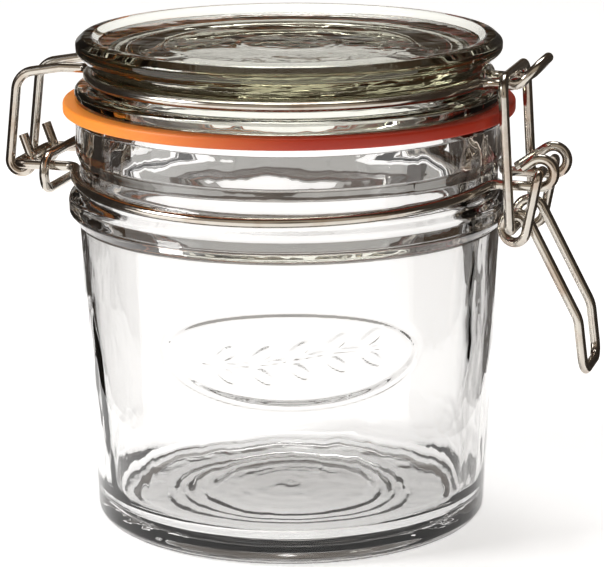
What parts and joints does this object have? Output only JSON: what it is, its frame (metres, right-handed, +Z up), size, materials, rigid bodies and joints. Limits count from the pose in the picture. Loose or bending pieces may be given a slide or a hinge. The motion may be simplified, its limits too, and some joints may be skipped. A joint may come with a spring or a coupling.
{
  "type": "preserving jar",
  "caption": "Squat round glass preserving jar with a glass lid on a wire hinge, a flat rubber seal and a wire swing clasp; empty and shut.",
  "frame": {"origin": "on the jar's axis, in the plane that its foot ring stands on", "axes": "+Z up along the jar's axis, +X towards the clasp, -X towards the hinge of the lid"},
  "size_m": [0.1273, 0.095, 0.1034],
  "materials": {
    "glass": "pressed clear glass",
    "seal": "matt orange rubber",
    "wire": "bright drawn steel wire"
  },
  "bodies": {
    "jar": {"jar_glass": "glass", "neck_wire": "wire", "tie_ring": "wire"},
    "lid": {"lid_glass": "glass", "lid_wire": "wire", "seal": "seal"},
    "lever": {"lever": "wire"},
    "link": {"link": "wire"}
  },
  "joints": [
    {"name": "lid_hinge", "type": "hinge", "parent": "jar", "child": "lid", "pos_m": [-0.0578, 0, 0.0746], "axis": [0, -1, 0], "range_deg": [0, 110]},
    {"name": "lever_pivot", "type": "hinge", "parent": "jar", "child": "lever", "pos_m": [0.0552, 0, 0.07768], "axis": [0, -1, 0], "range_deg": [0, 99]},
    {"name": "link_pivot", "type": "hinge", "parent": "lever", "child": "link", "pos_m": [0.05, 0, 0.06618], "axis": [0, -1, 0], "range_deg": [-132, 0]}
  ],
  "couplings": [
    {"joint": "lever_pivot", "follows": "lid_hinge", "ratio": 0.9},
    {"joint": "link_pivot", "follows": "lid_hinge", "ratio": -1.2}
  ]
}
